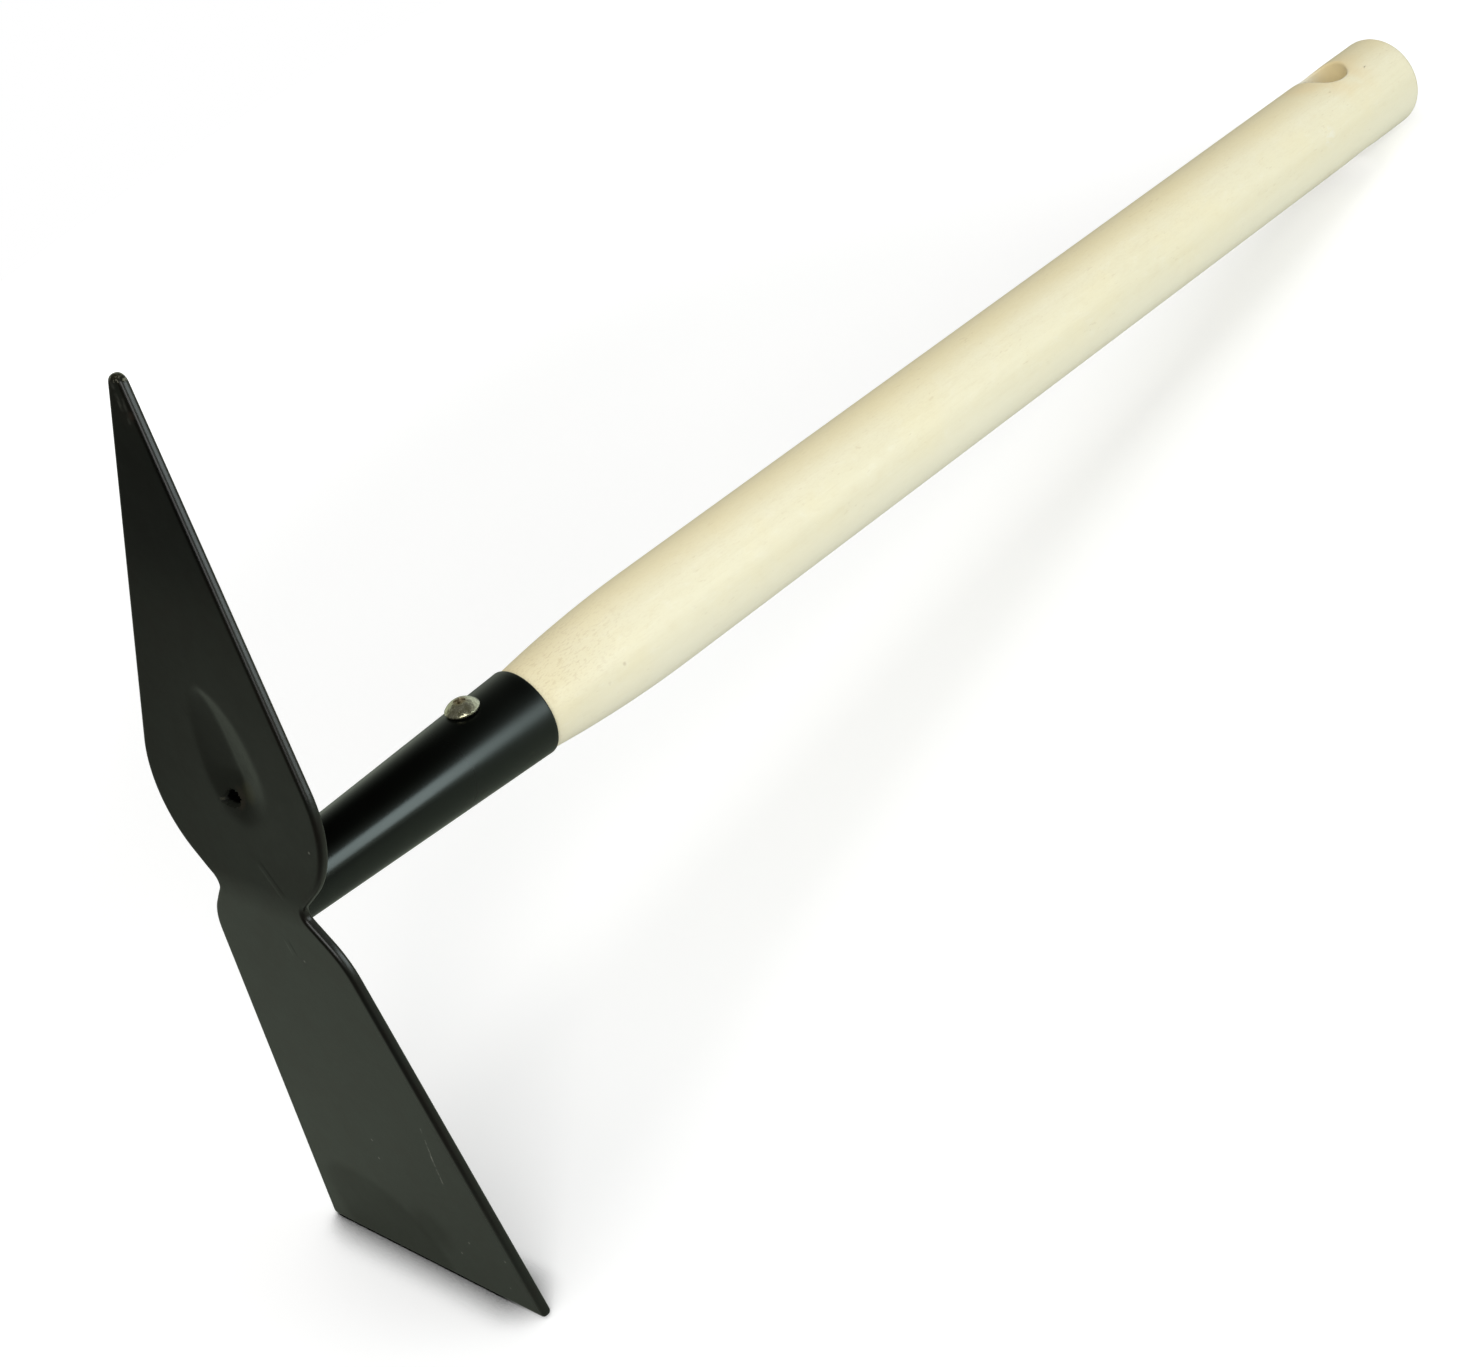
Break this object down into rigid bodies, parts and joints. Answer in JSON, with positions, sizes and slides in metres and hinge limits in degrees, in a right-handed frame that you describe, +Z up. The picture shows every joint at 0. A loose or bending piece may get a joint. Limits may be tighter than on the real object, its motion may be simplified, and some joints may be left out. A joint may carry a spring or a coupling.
{
  "type": "double-headed hand hoe",
  "caption": "Short hand hoe: a pointed leaf and a flared square blade pressed from one steel plate, on a conical socket with a turned wooden handle and a hanging hole.",
  "frame": {"origin": "centre of the footprint on the floor, with the tool resting on its square blade's edge and on the handle's butt", "axes": "+Z up, +X from the blade towards the handle's butt, Y across the blade, whose edge is centred on Y = 0"},
  "size_m": [0.5044, 0.0872, 0.2561],
  "materials": {
    "black_lacquer": "satin black lacquer on pressed sheet steel",
    "black_gloss": "glossy black lacquer on steel tube",
    "black_weld": "lacquered weld bead",
    "pale_wood": "smooth sanded pale wood, unvarnished",
    "bright_steel": "bright plated screw"
  },
  "bodies": {
    "root": {"blade_plate": "black_lacquer", "socket": "black_gloss", "weld_bead": "black_weld", "handle": "pale_wood", "fixing_screw": "bright_steel"}
  },
  "joints": []
}
